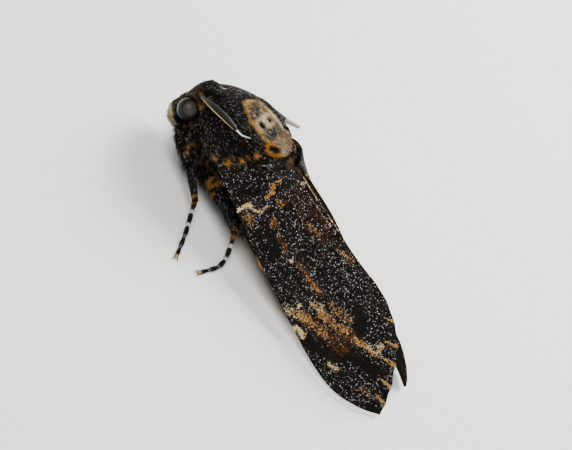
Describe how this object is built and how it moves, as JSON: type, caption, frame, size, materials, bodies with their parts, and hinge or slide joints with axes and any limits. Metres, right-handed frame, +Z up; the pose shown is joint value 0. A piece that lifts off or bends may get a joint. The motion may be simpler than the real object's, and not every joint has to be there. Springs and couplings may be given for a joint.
{
  "type": "hawkmoth model",
  "caption": "Still, life-size model of a death's head hawkmoth at rest, its long mottled wings folded like a roof over a stout furry body with a skull mark.",
  "frame": {"origin": "on the plane the feet stand on, under the middle of the box round the whole moth", "axes": "+X towards the head, +Y to the moth's left, +Z up"},
  "size_m": [0.0675, 0.0504, 0.0184],
  "materials": {
    "fur": "short velvety fur, near black with grey flecks, and a cream, grey and ochre skull mark on the back",
    "eye": "glossy dark grey-brown compound eye",
    "antenna": "dark rod with a white hooked tip",
    "forewing": "fine scales: near black with white dots, ochre and rust bands and a cream spot",
    "hindwing": "fine scales, ochre yellow with two dark bands",
    "abdomen": "short fur, ochre and black rings with a blue-grey stripe along the back",
    "leg": "black with pale rings, and ochre hair on the thicker joints"
  },
  "bodies": {
    "root": {"head": "fur", "palp_left": "fur", "palp_right": "fur", "collar": "fur", "thorax": "fur", "eye_left": "eye", "eye_right": "eye", "antenna_left": "antenna", "antenna_right": "antenna", "tongue": "antenna", "abdomen": "abdomen", "forewing_left": "forewing", "hindwing_left": "hindwing", "fore_coxa_left": "leg", "fore_femur_left": "leg", "fore_tibia_left": "leg", "fore_tarsus_left": "leg", "mid_coxa_left": "leg", "mid_femur_left": "leg", "mid_tibia_left": "leg", "mid_tarsus_left": "leg", "hind_coxa_left": "leg", "hind_femur_left": "leg", "hind_tibia_left": "leg", "hind_tarsus_left": "leg", "forewing_right": "forewing", "hindwing_right": "hindwing", "fore_coxa_right": "leg", "fore_femur_right": "leg", "fore_tibia_right": "leg", "fore_tarsus_right": "leg", "mid_coxa_right": "leg", "mid_femur_right": "leg", "mid_tibia_right": "leg", "mid_tarsus_right": "leg", "hind_coxa_right": "leg", "hind_femur_right": "leg", "hind_tibia_right": "leg", "hind_tarsus_right": "leg"}
  },
  "joints": []
}
